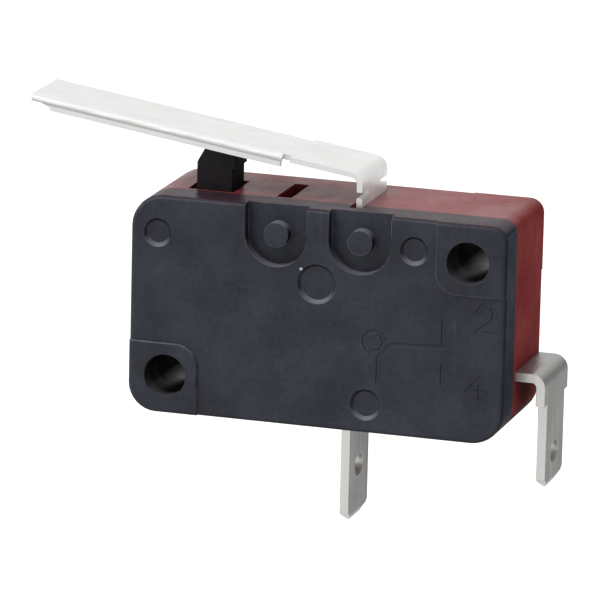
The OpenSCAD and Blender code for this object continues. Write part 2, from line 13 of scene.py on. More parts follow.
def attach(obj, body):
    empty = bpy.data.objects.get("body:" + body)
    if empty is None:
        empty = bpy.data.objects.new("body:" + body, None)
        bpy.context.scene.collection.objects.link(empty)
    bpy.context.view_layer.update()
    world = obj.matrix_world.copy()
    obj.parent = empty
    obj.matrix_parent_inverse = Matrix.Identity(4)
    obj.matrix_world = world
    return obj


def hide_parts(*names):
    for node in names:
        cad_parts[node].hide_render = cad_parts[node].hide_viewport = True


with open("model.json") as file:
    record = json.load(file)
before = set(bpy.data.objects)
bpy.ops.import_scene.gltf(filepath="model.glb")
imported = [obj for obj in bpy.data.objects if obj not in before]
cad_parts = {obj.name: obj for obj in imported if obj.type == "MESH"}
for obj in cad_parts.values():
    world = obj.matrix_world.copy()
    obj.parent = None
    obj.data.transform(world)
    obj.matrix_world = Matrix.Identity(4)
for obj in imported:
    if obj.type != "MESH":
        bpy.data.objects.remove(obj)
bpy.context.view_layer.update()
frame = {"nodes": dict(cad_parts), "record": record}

Colour = tuple[float, float, float]
Point = tuple[float, float, float]
Flat = tuple[float, float]
Socket = bpy.types.NodeSocket
Outputs = bpy.types.NodeOutputs

MM = 0.001

# Parts of a face's normal between which an effect starts and is full.
# Height of the normal: faces that lie flat, ledges painted lighter as if lit from above, faces that
# look down
LYING = (0.55, 0.98)
LIT_LEDGE = (0.2, 0.75)
HANGING = (-0.15, -0.6)
# The case's two ends, along X
ENDWISE = (0.45, 0.85)
# A blade's sides along Y, cut metal and partly painted light; the top of its bend, a painted
# highlight; and the painted light in its wire slots, along Z
SHEARED_LIT_SIDE = (0.3, 0.6)
LIT_BEND_TOP = (0.5, 0.9)
SLOT_LIGHT = (0.1, 0.4)
# Painted shade on the lever's fold, by how far it has turned to the side, darkest in a line on its
# upper half only
FOLD_START = (0.1, 0.35)
CREASE_START = (0.6, 0.85)
CREASE_END = (0.999, 0.985)
UPPER_HALF = (0.02, 0.1)

log = logging.getLogger("micro_switch")


class Grain(Enum):
    """Direction in which a sheet was rolled."""

    ALONG_X = "along_x"
    ALONG_Z = "along_z"


class RayKind(Enum):
    """Rays to which the background is plain white."""

    CAMERA = "Is Camera Ray"
    GLOSSY = "Is Glossy Ray"
    TRANSMISSION = "Is Transmission Ray"


def srgb(red: int, green: int, blue: int) -> Colour:
    """Turns a colour as it looks on a screen into a linear one.

    Args:
        red: Red, from 0 to 255.
        green: Green, from 0 to 255.
        blue: Blue, from 0 to 255.

    Returns:
        The linear colour, from 0 to 1.
    """

    def linear(value: int) -> float:
        """One channel, made linear."""
        share = value / 255
        return share / 12.92 if share <= 0.04045 else ((share + 0.055) / 1.055) ** 2.4

    return linear(red), linear(green), linear(blue)


class Graph:
    """Adds nodes to a node tree and links them, with short calls."""

    def __init__(self, tree: bpy.types.NodeTree) -> None:
        """Starts on a tree.

        Args:
            tree: The tree to add to.
        """
        self.tree = tree

    def add(self, kind: str, **settings: object) -> bpy.types.Node:
        """Adds a node.

        Args:
            kind: The node's type name.
            **settings: Properties to set on it.

        Returns:
            The new node.
        """
        node = self.tree.nodes.new(kind)
        for name, value in settings.items():
            setattr(node, name, value)
        return node

    def wire(self, source: Socket, target: Socket) -> None:
        """Links an output to an input."""
        self.tree.links.new(source, target)

    def feed(self, target: Socket, value: object) -> None:
        """Links a socket's output to a target, or sets the target to a plain value."""
        if isinstance(value, Socket):
            self.wire(value, target)
        else:
            target.default_value = value

    def maths(self, operation: str, *values: object) -> Socket:
        """Adds a Math node.

        Args:
            operation: Its operation.
            *values: Its inputs, sockets or numbers.

        Returns:
            Its output.
        """
        node = self.add("ShaderNodeMath", operation=operation)
        for index, value in enumerate(values):
            self.feed(node.inputs[index], value)
        return node.outputs[0]

    def vectors(self, operation: str, *values: object) -> Socket:
        """Adds a Vector Math node.

        Args:
            operation: Its operation.
            *values: Its inputs, sockets or triples.

        Returns:
            Its output, a number for a length or a dot product.
        """
        node = self.add("ShaderNodeVectorMath", operation=operation)
        for index, value in enumerate(values):
            self.feed(node.inputs[index], value)
        return node.outputs["Value" if operation in ("LENGTH", "DOT_PRODUCT") else "Vector"]

    def ramp(
        self, value: object, low: float, high: float, start: float = 0.0, end: float = 1.0
    ) -> Socket:
        """Maps a value from low..high to start..end, clamped.

        Args:
            value: The socket or number to map.
            low: The value that gives start.
            high: The value that gives end.
            start: The result at low.
            end: The result at high.

        Returns:
            The mapped value.
        """
        node = self.add("ShaderNodeMapRange", clamp=True)
        for index, number in enumerate((value, low, high, start, end)):
            self.feed(node.inputs[index], number)
        return node.outputs[0]

    def blend(self, share: object, first: object, second: object) -> Socket:
        """Mixes two colours.

        Args:
            share: How much of the second one shows, a socket or a number.
            first: The first colour.
            second: The second colour.

        Returns:
            The mixed colour.
        """
        node = self.add("ShaderNodeMix", data_type="RGBA")
        self.feed(node.inputs[0], share)
        self.feed(node.inputs[6], (*first, 1) if isinstance(first, tuple) else first)
        self.feed(node.inputs[7], (*second, 1) if isinstance(second, tuple) else second)
        return node.outputs[2]

    def noise(
        self, vector: object, scale: object, detail: float = 3.0, roughness: float = 0.5
    ) -> Socket:
        """Adds a noise texture.

        Args:
            vector: The coordinates.
            scale: Its scale.
            detail: Its number of octaves.
            roughness: How strong the fine octaves are.

        Returns:
            The noise value.
        """
        node = self.add("ShaderNodeTexNoise")
        self.feed(node.inputs["Vector"], vector)
        self.feed(node.inputs["Scale"], scale)
        node.inputs["Detail"].default_value = detail
        node.inputs["Roughness"].default_value = roughness
        return node.outputs[0]

    def split(self, vector: Socket) -> Outputs:
        """Parts a vector into X, Y and Z."""
        node = self.add("ShaderNodeSeparateXYZ")
        self.wire(vector, node.inputs[0])
        return node.outputs

    def facing(self) -> Outputs:
        """X, Y and Z of the surface's normal."""
        return self.split(self.add("ShaderNodeNewGeometry").outputs["Normal"])

    def rounded(self, radius: object) -> Socket:
        """Adds a normal that rounds sharp edges off by a small radius, in metres."""
        node = self.add("ShaderNodeBevel", samples=6)
        self.feed(node.inputs["Radius"], radius)
        return node.outputs[0]

    def bump(self, height: Socket, strength: float, distance: float, normal: Socket | None) -> Socket:
        """Adds relief to a normal.

        Args:
            height: The relief's height, from 0 to 1.
            strength: How strong it is.
            distance: What a height of 1 stands for, in metres.
            normal: The normal to start from, or None for the surface's own.

        Returns:
            The new normal.
        """
        node = self.add("ShaderNodeBump")
        node.inputs["Strength"].default_value = strength
        node.inputs["Distance"].default_value = distance
        self.wire(height, node.inputs["Height"])
        if normal:
            self.wire(normal, node.inputs["Normal"])
        return node.outputs[0]


@dataclass(frozen=True)
class Engraving:
    """The circuit mark and the blade numbers cut into the cover's front, in mm in X and Z."""

    front: float = -4.95
    front_slack: float = 0.05
    width: float = 0.26
    floor_share: float = 0.3
    rim_share: float = 0.72
    ring_centre: Flat = (15.45, 3.97)
    ring_radius: float = 0.72
    stem_foot: Flat = (15.8, 1.0)
    stem_top: Flat = (15.8, 2.82)
    blade_root: Flat = (16.75, 3.85)
    blade_end: Flat = (20.65, 4.05)
    bar_x: float = 20.53
    upper_bar: Flat = (4.45, 5.9)
    lower_bar: Flat = (1.4, 2.7)
    two_corner: Flat = (22.95, 5.35)
    two_size: Flat = (1.35, 2.0)
    four_corner: Flat = (22.4, 0.65)
    four_size: Flat = (1.25, 1.4)

    def _sign(self, corner: Flat, size: Flat, line: Sequence[Flat]) -> list[tuple[Flat, Flat]]:
        """Strokes of a number: its lower left corner, its size and its line in shares of that."""
        placed = [(corner[0] + size[0] * x, corner[1] + size[1] * z) for x, z in line]
        return list(zip(placed, placed[1:]))

    def strokes(self) -> list[tuple[Flat, Flat]]:
        """Every straight stroke, as the pair of its ends."""
        two = (
            (0.05, 0.76), (0.28, 1.0), (0.72, 1.0), (0.95, 0.74), (0.84, 0.48), (0.0, 0.0), (1.0, 0.0)
        )
        four = ((0.72, 0.0), (0.72, 1.0), (0.0, 0.3), (1.0, 0.3))
        return [
            (self.stem_foot, self.stem_top),
            (self.stem_top, self.blade_root),
            (self.blade_root, self.blade_end),
            ((self.bar_x, self.upper_bar[0]), (self.bar_x, self.upper_bar[1])),
            ((self.bar_x, self.lower_bar[0]), (self.bar_x, self.lower_bar[1])),
            *self._sign(self.two_corner, self.two_size, two),
            *self._sign(self.four_corner, self.four_size, four),
        ]


class SharedGroups:
    """Effects that several finishes use, each a node group that is built once."""

    def __init__(self, holes: Sequence[Flat]) -> None:
        """Builds every group.

        Args:
            holes: X and Z of the mounting holes' axes, in metres.
        """
        self.stroke = self._stroke_distance()
        self.engraved = self._engraving(Engraving())
        self.moulded = self._moulded_skin()
        self.scuffs = self._scuffs()
        self.rolled = self._rolled_sheet()
        self.edges = self._worn_and_lit_edges()
        self.bores = self._bore_shade(holes)

    @staticmethod
    def _open(
        name: str, numbers: dict[str, float], outputs: Sequence[str]
    ) -> tuple[bpy.types.NodeTree, Graph]:
        """Makes an empty group with a vector input, number inputs and value outputs."""
        tree = bpy.data.node_groups.new(name, "ShaderNodeTree")
        tree.interface.new_socket("Vector", in_out="INPUT", socket_type="NodeSocketVector")
        for label, value in numbers.items():
            socket = tree.interface.new_socket(label, in_out="INPUT", socket_type="NodeSocketFloat")
            socket.default_value = value
        for label in outputs:
            tree.interface.new_socket(label, in_out="OUTPUT", socket_type="NodeSocketFloat")
        return tree, Graph(tree)

    def _moulded_skin(self) -> bpy.types.NodeTree:
        """Colour mottle and fine orange peel of a moulded skin."""
        tree, g = self._open(
            "moulded_skin", {"Cloud Scale": 260.0, "Grain Scale": 2600.0}, ("Mottle", "Height")
        )
        inside = g.add("NodeGroupInput").outputs
        cloud = g.noise(inside["Vector"], inside["Cloud Scale"], 4.0, 0.62)
        grain = g.noise(inside["Vector"], inside["Grain Scale"], 2.0, 0.55)
        mottle = g.maths("ADD", g.maths("MULTIPLY", cloud, 0.72), g.maths("MULTIPLY", grain, 0.28))
        height = g.maths("ADD", g.maths("MULTIPLY", grain, 0.75), g.maths("MULTIPLY", cloud, 0.25))
        out = g.add("NodeGroupOutput").inputs
        g.wire(g.ramp(mottle, 0.36, 0.66), out["Mottle"])
        g.wire(height, out["Height"])
        return tree

    def _scuffs(self) -> bpy.types.NodeTree:
        """Short fine scratches in two directions, thinned out by a cloud."""
        tree, g = self._open("scuffs", {"Scale": 300.0, "Amount": 0.3}, ("Mask",))
        inside = g.add("NodeGroupInput").outputs
        lines: list[Socket] = []
        for turn, stretch in ((0.45, (0.06, 1.0, 1.0)), (-0.9, (1.0, 1.0, 0.05))):
            mapping = g.add("ShaderNodeMapping")
            g.wire(inside["Vector"], mapping.inputs["Vector"])
            mapping.inputs["Rotation"].default_value = (0.0, turn, 0.0)
            mapping.inputs["Scale"].default_value = stretch
            streak = g.noise(mapping.outputs[0], g.maths("MULTIPLY", inside["Scale"], 9.0), 1.0)
            lines.append(g.ramp(streak, 0.66, 0.74))
        cloud = g.ramp(g.noise(inside["Vector"], inside["Scale"], 2.0), 0.5, 0.68)
        both = g.maths("MAXIMUM", lines[0], lines[1])
        out = g.add("NodeGroupOutput").inputs
        g.wire(g.maths("MULTIPLY", g.maths("MULTIPLY", both, cloud), inside["Amount"]), out["Mask"])
        return tree

    def _rolled_sheet(self) -> bpy.types.NodeTree:
        """Long rolling lines and a slow cloud of a rolled metal sheet."""
        tree, g = self._open(
            "rolled_sheet", {"Line Scale": 4000.0, "Cloud Scale": 180.0}, ("Lines", "Cloud")
        )
        inside = g.add("NodeGroupInput").outputs
        mapping = g.add("ShaderNodeMapping")
        g.wire(inside["Vector"], mapping.inputs["Vector"])
        mapping.inputs["Scale"].default_value = (0.02, 1.0, 0.35)
        lines = g.noise(mapping.outputs[0], inside["Line Scale"], 2.0, 0.6)
        cloud = g.noise(inside["Vector"], inside["Cloud Scale"], 3.0, 0.55)
        out = g.add("NodeGroupOutput").inputs
        g.wire(g.ramp(lines, 0.3, 0.7), out["Lines"])
        g.wire(g.ramp(cloud, 0.35, 0.65), out["Cloud"])
        return tree

    def _worn_and_lit_edges(self) -> bpy.types.NodeTree:
        """Where a surface turns sharply: handling wears it there, and the paler colour there is also
        a painted edge highlight.
        """
        tree, g = self._open("worn_and_lit_edges", {"Radius": 0.0001, "Break Up": 900.0}, ("Mask",))
        inside = g.add("NodeGroupInput").outputs
        true = g.add("ShaderNodeNewGeometry").outputs["Normal"]
        alike = g.vectors("DOT_PRODUCT", g.rounded(inside["Radius"]), true)
        turned = g.ramp(alike, 0.985, 0.86)
        broken = g.ramp(g.noise(inside["Vector"], inside["Break Up"], 2.0), 0.32, 0.6)
        out = g.add("NodeGroupOutput").inputs
        g.wire(g.maths("MULTIPLY", turned, broken), out["Mask"])
        return tree

    def _stroke_distance(self) -> bpy.types.NodeTree:
        """Distance of a point of the XZ plane from a straight stroke."""
        tree = bpy.data.node_groups.new("stroke_distance", "ShaderNodeTree")
        for label in ("Vector", "From", "Along"):
            tree.interface.new_socket(label, in_out="INPUT", socket_type="NodeSocketVector")
        tree.interface.new_socket("Inverse Square", in_out="INPUT", socket_type="NodeSocketFloat")
        tree.interface.new_socket("Distance", in_out="OUTPUT", socket_type="NodeSocketFloat")
        g = Graph(tree)
        inside = g.add("NodeGroupInput").outputs
        offset = g.vectors("SUBTRACT", inside["Vector"], inside["From"])
        along = g.vectors("DOT_PRODUCT", offset, inside["Along"])
        share = g.ramp(g.maths("MULTIPLY", along, inside["Inverse Square"]), 0.0, 1.0)
        step = g.add("ShaderNodeVectorMath", operation="SCALE")
        g.wire(inside["Along"], step.inputs[0])
        g.wire(share, step.inputs["Scale"])
        rest = g.vectors("SUBTRACT", offset, step.outputs[0])
        g.wire(g.vectors("LENGTH", rest), g.add("NodeGroupOutput").inputs["Distance"])
        return tree

    def _engraving(self, mark: Engraving) -> bpy.types.NodeTree:
        """Grooves of the circuit mark, as a height that is 0 on their floor and 1 beside them.

        Args:
            mark: The engraving's sizes.

        Returns:
            The group.
        """
        tree, g = self._open("engraving", {}, ("Height",))
        inside = g.add("NodeGroupInput").outputs
        flat = g.vectors("MULTIPLY", inside["Vector"], (1.0 / MM, 0.0, 1.0 / MM))
        centre = (mark.ring_centre[0], 0.0, mark.ring_centre[1])
        ring = g.vectors("LENGTH", g.vectors("SUBTRACT", flat, centre))
        nearest = g.maths("ABSOLUTE", g.maths("SUBTRACT", ring, mark.ring_radius))
        for start, end in mark.strokes():
            step = (end[0] - start[0], 0.0, end[1] - start[1])
            stroke = g.add("ShaderNodeGroup")
            stroke.node_tree = self.stroke
            g.wire(flat, stroke.inputs["Vector"])
            stroke.inputs["From"].default_value = (start[0], 0.0, start[1])
            stroke.inputs["Along"].default_value = step
            stroke.inputs["Inverse Square"].default_value = 1.0 / (step[0] ** 2 + step[2] ** 2)
            nearest = g.maths("MINIMUM", nearest, stroke.outputs[0])
        deepest = (mark.front + mark.front_slack) * MM
        on_front = g.maths("LESS_THAN", g.split(inside["Vector"])["Y"], deepest)
        walls = g.ramp(nearest, mark.width * mark.rim_share, mark.width * mark.floor_share)
        groove = g.maths("MULTIPLY", walls, on_front)
        g.wire(g.maths("SUBTRACT", 1.0, groove), g.add("NodeGroupOutput").inputs["Height"])
        return tree

    def _bore_shade(self, holes: Sequence[Flat]) -> bpy.types.NodeTree:
        """The walls of the two mounting holes, where little light reaches the moulding.

        Args:
            holes: X and Z of the holes' axes, in metres.

        Returns:
            The group.
        """
        tree, g = self._open("bore_shade", {"Radius": 1.6 * MM, "Mouth": 4.4 * MM}, ("Mask",))
        inside = g.add("NodeGroupInput").outputs
        flat = g.vectors("MULTIPLY", inside["Vector"], (1.0, 0.0, 1.0))
        walls: list[Socket] = []
        for x, z in holes:
            away = g.vectors("LENGTH", g.vectors("SUBTRACT", flat, (x, 0.0, z)))
            walls.append(g.maths("LESS_THAN", away, inside["Radius"]))
        across = g.maths("ABSOLUTE", g.split(inside["Vector"])["Y"])
        depth = g.maths("SUBTRACT", inside["Mouth"], across)
        deep = g.ramp(depth, 0.0, 0.8 * MM, 0.55, 1.0)
        both = g.maths("MAXIMUM", *walls)
        g.wire(g.maths("MULTIPLY", both, deep), g.add("NodeGroupOutput").inputs["Mask"])
        return tree

    @staticmethod
    def place(
        graph: Graph, group: bpy.types.NodeTree, vector: Socket, **numbers: float
    ) -> bpy.types.Node:
        """Puts a group into a material.

        Args:
            graph: The material's graph.
            group: The group.
            vector: Coordinates for it.
            **numbers: Its numbers, with _ for a space in their names.

        Returns:
            The group's node.
        """
        node = graph.add("ShaderNodeGroup")
        node.node_tree = group
        graph.wire(vector, node.inputs["Vector"])
        for name, value in numbers.items():
            node.inputs[name.replace("_", " ")].default_value = value
        return node


@dataclass(frozen=True)
class Finish:
    """What every finish has: a name, and a new material to start from."""

    name: str

    def start(self) -> tuple[bpy.types.Material, Graph, bpy.types.Node, Socket]:
        """Makes a material with one shader.

        Returns:
            The material, its graph, its shader and the Object coordinates.
        """
        material = bpy.data.materials.new(self.name)
        material.use_nodes = True
        material.node_tree.nodes.clear()
        graph = Graph(material.node_tree)
        shader = graph.add("ShaderNodeBsdfPrincipled")
        output = graph.add("ShaderNodeOutputMaterial")
        graph.wire(shader.outputs[0], output.inputs["Surface"])
        coordinates = graph.add("ShaderNodeTexCoord").outputs["Object"]
        return material, graph, shader, coordinates


@dataclass(frozen=True)
class MouldedFinish(Finish):
    """A moulded thermoset or nylon skin, with lengths in mm."""

    deep: Colour = (0.02, 0.02, 0.03)
    pale: Colour = (0.03, 0.03, 0.04)
    # Paler colour of scuffs and sharp edges: wear, and on edges also a painted highlight
    worn_and_lit: Colour = (0.2, 0.2, 0.2)
    # Painted sheen: a lighter, tinted tone on upward faces stands in for light and reflections on the
    # top
    top_sheen: Colour = (0.2, 0.2, 0.2)
    top_sheen_share: float = 0.0
    # Painted light on the small upward ledges below the case's top
    ledge_light: Colour | None = None
    lit_ledge_below: float = 12.4
    lit_ledge_fade: float = 0.1
    smooth: float = 0.4
    rough: float = 0.6
    specular: float = 0.5
    specular_top: float = 0.5
    specular_least: float = 0.05
    peel: float = 0.12
    peel_height: float = 0.03
    scuffed: float = 0.1
    cloud_scale: float = 260.0
    bore: Colour = (0.004, 0.004, 0.005)
    shade: Colour = (0.02, 0.01, 0.01)
    underside: float = 0.0
    rounding: float = 0.05
    engraved: float = 0.0
    specks: tuple[Point, ...] = ()
    speck_size: float = 0.11
    dust: Colour = (0.45, 0.45, 0.47)
    # How far sharp edges take that colour: wear and a painted edge highlight
    edge_wear_and_light: float = 0.35
    edge_mask_radius: float = 0.12

    def _lit_ledges(self, g: Graph, where: Socket, faces: Outputs, colour: Socket) -> Socket:
        """Pales the small ledges below the case's top where they face up, as painted light.

        Args:
            g: The material's graph.
            where: Object coordinates.
            faces: X, Y and Z of the normal.
            colour: The colour so far.

        Returns:
            The colour with its ledges.
        """
        start = self.lit_ledge_below * MM
        below = g.ramp(g.split(where)["Z"], start, start - self.lit_ledge_fade * MM)
        lit_shelf = g.maths("MULTIPLY", g.ramp(faces["Z"], *LIT_LEDGE), below)
        return g.blend(lit_shelf, colour, self.ledge_light)

    def _specks(self, g: Graph, where: Socket, colour: Socket) -> Socket:
        """Sets the single specks of dust.

        Args:
            g: The material's graph.
            where: Object coordinates.
            colour: The colour so far.

        Returns:
            The colour with the specks.
        """
        for speck in self.specks:
            centre = tuple(value * MM for value in speck)
            away = g.vectors("LENGTH", g.vectors("SUBTRACT", where, centre))
            dot = g.maths("LESS_THAN", away, self.speck_size * MM)
            colour = g.blend(dot, colour, self.dust)
        return colour

    def _gloss(self, g: Graph, faces: Outputs, level: Socket, under: Socket) -> Socket:
        """How strongly the skin reflects: weakly where it looks sideways or down.

        Args:
            g: The material's graph.
            faces: X, Y and Z of the normal.
            level: How far the face lies flat.
            under: How far the face looks down.

        Returns:
            The specular level.
        """
        aside = g.ramp(g.maths("ABSOLUTE", faces["X"]), *ENDWISE)
        dim = g.maths("MAXIMUM", aside, g.maths("MULTIPLY", under, self.underside))
        shine = g.ramp(level, 0.0, 1.0, self.specular, self.specular_top)
        return g.maths("MULTIPLY", shine, g.ramp(dim, 0.0, 1.0, 1.0, self.specular_least))

    def build(self, groups: SharedGroups) -> bpy.types.Material:
        """Makes the material.

        Args:
            groups: The shared node groups.

        Returns:
            The material.
        """
        material, g, shader, where = self.start()
        skin = groups.place(g, groups.moulded, where, Cloud_Scale=self.cloud_scale)
        mottle = skin.outputs["Mottle"]
        scuffs = groups.place(g, groups.scuffs, where, Amount=self.scuffed)
        edges = groups.place(g, groups.edges, where, Radius=self.edge_mask_radius * MM)
        bores = groups.place(g, groups.bores, where)
        faces = g.facing()
        level = g.ramp(faces["Z"], *LYING)
        under = g.ramp(faces["Z"], *HANGING)

        colour = g.blend(mottle, self.deep, self.pale)
        colour = g.blend(g.maths("MULTIPLY", under, self.underside), colour, self.shade)
        # Painted sheen and reflection on upward faces, following the mottle
        painted_top_sheen = g.maths("MULTIPLY", level, g.ramp(mottle, 0.0, 1.0, 0.75, 1.0))
        colour = g.blend(g.maths("MULTIPLY", painted_top_sheen, self.top_sheen_share), colour, self.top_sheen)
        if self.ledge_light:
            colour = self._lit_ledges(g, where, faces, colour)
        # Sharp edges: wear, and a painted edge highlight
        rubbed_and_lit = g.maths("MULTIPLY", edges.outputs["Mask"], self.edge_wear_and_light)
        marks = g.maths("MAXIMUM", scuffs.outputs["Mask"], rubbed_and_lit)
        colour = self._specks(g, where, g.blend(marks, colour, self.worn_and_lit))
        colour = g.blend(bores.outputs["Mask"], colour, self.bore)
        g.wire(colour, shader.inputs["Base Color"])

        rough = g.ramp(mottle, 0.0, 1.0, self.rough, (self.rough + self.smooth) / 2)
        polish = g.maths("MULTIPLY", level, (self.rough - self.smooth) * 0.8)
        rough = g.maths("SUBTRACT", rough, polish)
        g.wire(g.maths("ADD", rough, g.maths("MULTIPLY", marks, 0.15)), shader.inputs["Roughness"])
        shader.inputs["Specular IOR Level"].default_value = self.specular
        g.wire(self._gloss(g, faces, level, under), shader.inputs["Specular IOR Level"])

        normal = g.rounded(self.rounding * MM)
        normal = g.bump(skin.outputs["Height"], self.peel, self.peel_height * MM, normal)
        if self.engraved:
            cut = groups.place(g, groups.engraved, where).outputs["Height"]
            normal = g.bump(cut, 1.0, self.engraved * MM, normal)
        g.wire(normal, shader.inputs["Normal"])
        return material


@dataclass(frozen=True)
class SheetFinish(Finish):
    """A rolled metal strip with its rolling lines, cut edges and painted highlights, with lengths in
    mm.
    """

    face: Colour = (0.6, 0.6, 0.6)
    dull: Colour = (0.5, 0.5, 0.5)
    # Bright tone of cut metal and wear, also used for painted highlights
    bare_and_lit_tone: Colour = (0.8, 0.8, 0.8)
    grain: Grain = Grain.ALONG_X
    tilt: float = 0.0
    smooth: float = 0.25
    rough: float = 0.45
    edge_radius: float = 0.08
    rounding: float = 0.07
    line_strength: float = 0.08
    line_height: float = 0.02
    # Bright sides, partly painted light, a painted highlight on bend tops and painted light in the
    # wire slots
    sides_bare_and_lit: bool = False
    slots_from: float = -2.0
    slots_full: float = -4.0
    slot_light_metal: float = 0.1
    # Painted shade on the lever's turned-down edges, darkest in a line along its fold
    fold: Colour | None = None
    turned: Colour = (0.6, 0.6, 0.6)

    def _bare_and_lit_sides(self, g: Graph, where: Socket, shader: bpy.types.Node, bare_and_lit: Socket) -> Socket:
        """Shows bright metal on the sides, partly cut metal and partly painted light, paints a
        highlight on the tops of the bends, and paints light on the up-facing faces in the wire slots.

        Args:
            g: The material's graph.
            where: Object coordinates.
            shader: The material's shader, which is less metallic where light is painted in the wire
                slots.
            bare_and_lit: Places so far in the bright tone: edges that show wear, and painted edge
                highlights.

        Returns:
            Every place in the bright tone, painted light included.
        """
        faces = g.facing()
        sideways = g.ramp(g.maths("ABSOLUTE", faces["Y"]), *SHEARED_LIT_SIDE, 0.0, 0.95)
        low = g.ramp(g.split(where)["Z"], self.slots_from * MM, self.slots_full * MM)
        slot_light = g.maths("MULTIPLY", g.ramp(faces["Z"], *SLOT_LIGHT), low)
        lit_bends_and_slots = g.maths("MAXIMUM", g.ramp(faces["Z"], *LIT_BEND_TOP, 0.0, 0.55), slot_light)
        g.wire(g.ramp(slot_light, 0.0, 1.0, 1.0, self.slot_light_metal), shader.inputs["Metallic"])
        return g.maths("MAXIMUM", bare_and_lit, g.maths("MAXIMUM", sideways, lit_bends_and_slots))

    def _fold_shade(self, g: Graph, colour: Socket) -> Socket:
        """Paints shade on the turned-down edges, darkest in a line along the fold.

        Args:
            g: The material's graph.
            colour: The colour so far.

        Returns:
            The colour with its folds.
        """
        faces = g.facing()
        turn = g.maths("ABSOLUTE", faces["Y"])
        colour = g.blend(g.ramp(turn, *FOLD_START), colour, self.turned)
        crease_shade = g.maths("MULTIPLY", g.ramp(turn, *CREASE_START), g.ramp(turn, *CREASE_END))
        crease_shade = g.maths("MULTIPLY", crease_shade, g.ramp(faces["Z"], *UPPER_HALF))
        return g.blend(crease_shade, colour, self.fold)

    def build(self, groups: SharedGroups) -> bpy.types.Material:
        """Makes the material.

        Args:
            groups: The shared node groups.

        Returns:
            The material.
        """
        material, g, shader, where = self.start()
        shader.inputs["Metallic"].default_value = 1.0
        grain = g.add("ShaderNodeMapping")
        g.wire(where, grain.inputs["Vector"])
        quarter = math.radians(90) if self.grain is Grain.ALONG_Z else 0.0
        grain.inputs["Rotation"].default_value = (0.0, quarter + self.tilt, 0.0)
        sheet = groups.place(g, groups.rolled, grain.outputs[0])
        lines, cloud = sheet.outputs["Lines"], sheet.outputs["Cloud"]
        edges = groups.place(g, groups.edges, where, Radius=self.edge_radius * MM)
        scuffs = groups.place(g, groups.scuffs, where, Scale=240.0, Amount=0.5)

        colour = g.blend(cloud, self.face, self.dull)
        colour = g.blend(g.ramp(lines, 0.0, 1.0, 0.0, 0.12), colour, self.bare_and_lit_tone)
        bare_and_lit: Socket = edges.outputs["Mask"]
        # Bright tone on places of wear and cut edges, and painted highlights and light on edges, bend
        # tops and slots
        if self.sides_bare_and_lit:
            bare_and_lit = self._bare_and_lit_sides(g, where, shader, bare_and_lit)
        colour = g.blend(bare_and_lit, colour, self.bare_and_lit_tone)
        colour = g.blend(g.maths("MULTIPLY", scuffs.outputs["Mask"], 0.5), colour, self.bare_and_lit_tone)
        if self.fold:
            colour = self._fold_shade(g, colour)
        g.wire(colour, shader.inputs["Base Color"])

        rough = g.ramp(lines, 0.0, 1.0, self.smooth, self.rough)
        rough = g.maths("ADD", rough, g.maths("MULTIPLY", cloud, 0.06))
        g.wire(rough, shader.inputs["Roughness"])
        soft = g.rounded(self.rounding * MM) if self.rounding else None
        normal = g.bump(lines, self.line_strength, self.line_height * MM, soft)
        g.wire(normal, shader.inputs["Normal"])
        return material


